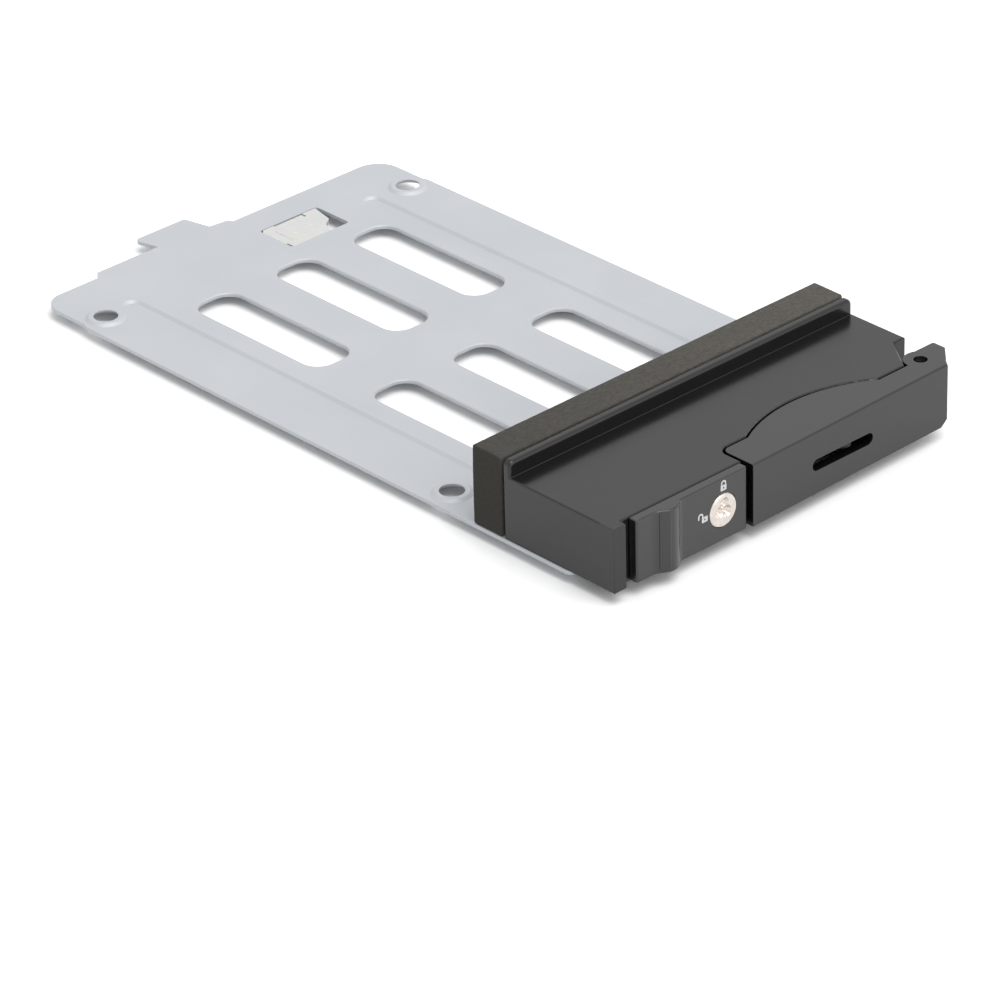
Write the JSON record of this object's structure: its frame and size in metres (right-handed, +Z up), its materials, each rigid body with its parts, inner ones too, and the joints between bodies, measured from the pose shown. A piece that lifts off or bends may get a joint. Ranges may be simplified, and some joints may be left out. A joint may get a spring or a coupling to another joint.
{
  "type": "hot swap drive caddy",
  "caption": "Stamped steel tray with cooling slots for a small drive, foam strip, moulded front with swing ejector lever, sprung latch slider and key lock",
  "frame": {"origin": "centre of the four drive screw holes, on the plane that the drive sits on", "axes": "+X to the right seen from the front, towards the lever hinge; +Y to the rear, towards the connector end; +Z up, away from the tray"},
  "size_m": [0.0708, 0.1317, 0.0137],
  "materials": {
    "sheet": "satin zinc-coated sheet",
    "black": "fine textured moulding",
    "foam": "open speckled foam",
    "tape": "dull black tape",
    "screw": "zinc plated",
    "pin": "ground steel",
    "spring": "spring steel",
    "lock": "bright plated metal",
    "clip": "glossy off-white"
  },
  "bodies": {
    "tray": {"tray_plate": "sheet", "window_clip": "clip", "housing": "black", "foam_strip": "foam", "foam_tape": "tape", "housing_screws": "screw", "lever_pin": "pin", "pin_ring": "spring", "slider_spring": "spring"},
    "swing_lever": {"lever": "black", "lever_catch": "spring", "catch_rivets": "screw"},
    "slider": {"latch_slider": "black", "slider_keeper": "sheet", "keeper_screws": "screw", "lock_washer": "spring"},
    "lock": {"lock_cylinder": "lock", "lock_circlip": "spring", "lock_cam": "lock", "cam_screw": "screw"}
  },
  "joints": [
    {"name": "lever_hinge", "type": "hinge", "parent": "tray", "child": "swing_lever", "pos_m": [0.03087, -0.07125, 0.0045], "axis": [0, 0, 1], "range_deg": [0, 50], "deforming": ["lever_catch"]},
    {"name": "latch_slide", "type": "slide", "parent": "tray", "child": "slider", "axis": [-1, 0, 0], "range_m": [0, 0.0015], "stiffness_N_per_m": 300, "springref_m": -0.002, "deforming": ["slider_spring"]},
    {"name": "lock_turn", "type": "hinge", "parent": "slider", "child": "lock", "pos_m": [-0.01375, -0.0756, 0.00455], "axis": [0, -1, 0], "range_deg": [0, 90]}
  ]
}
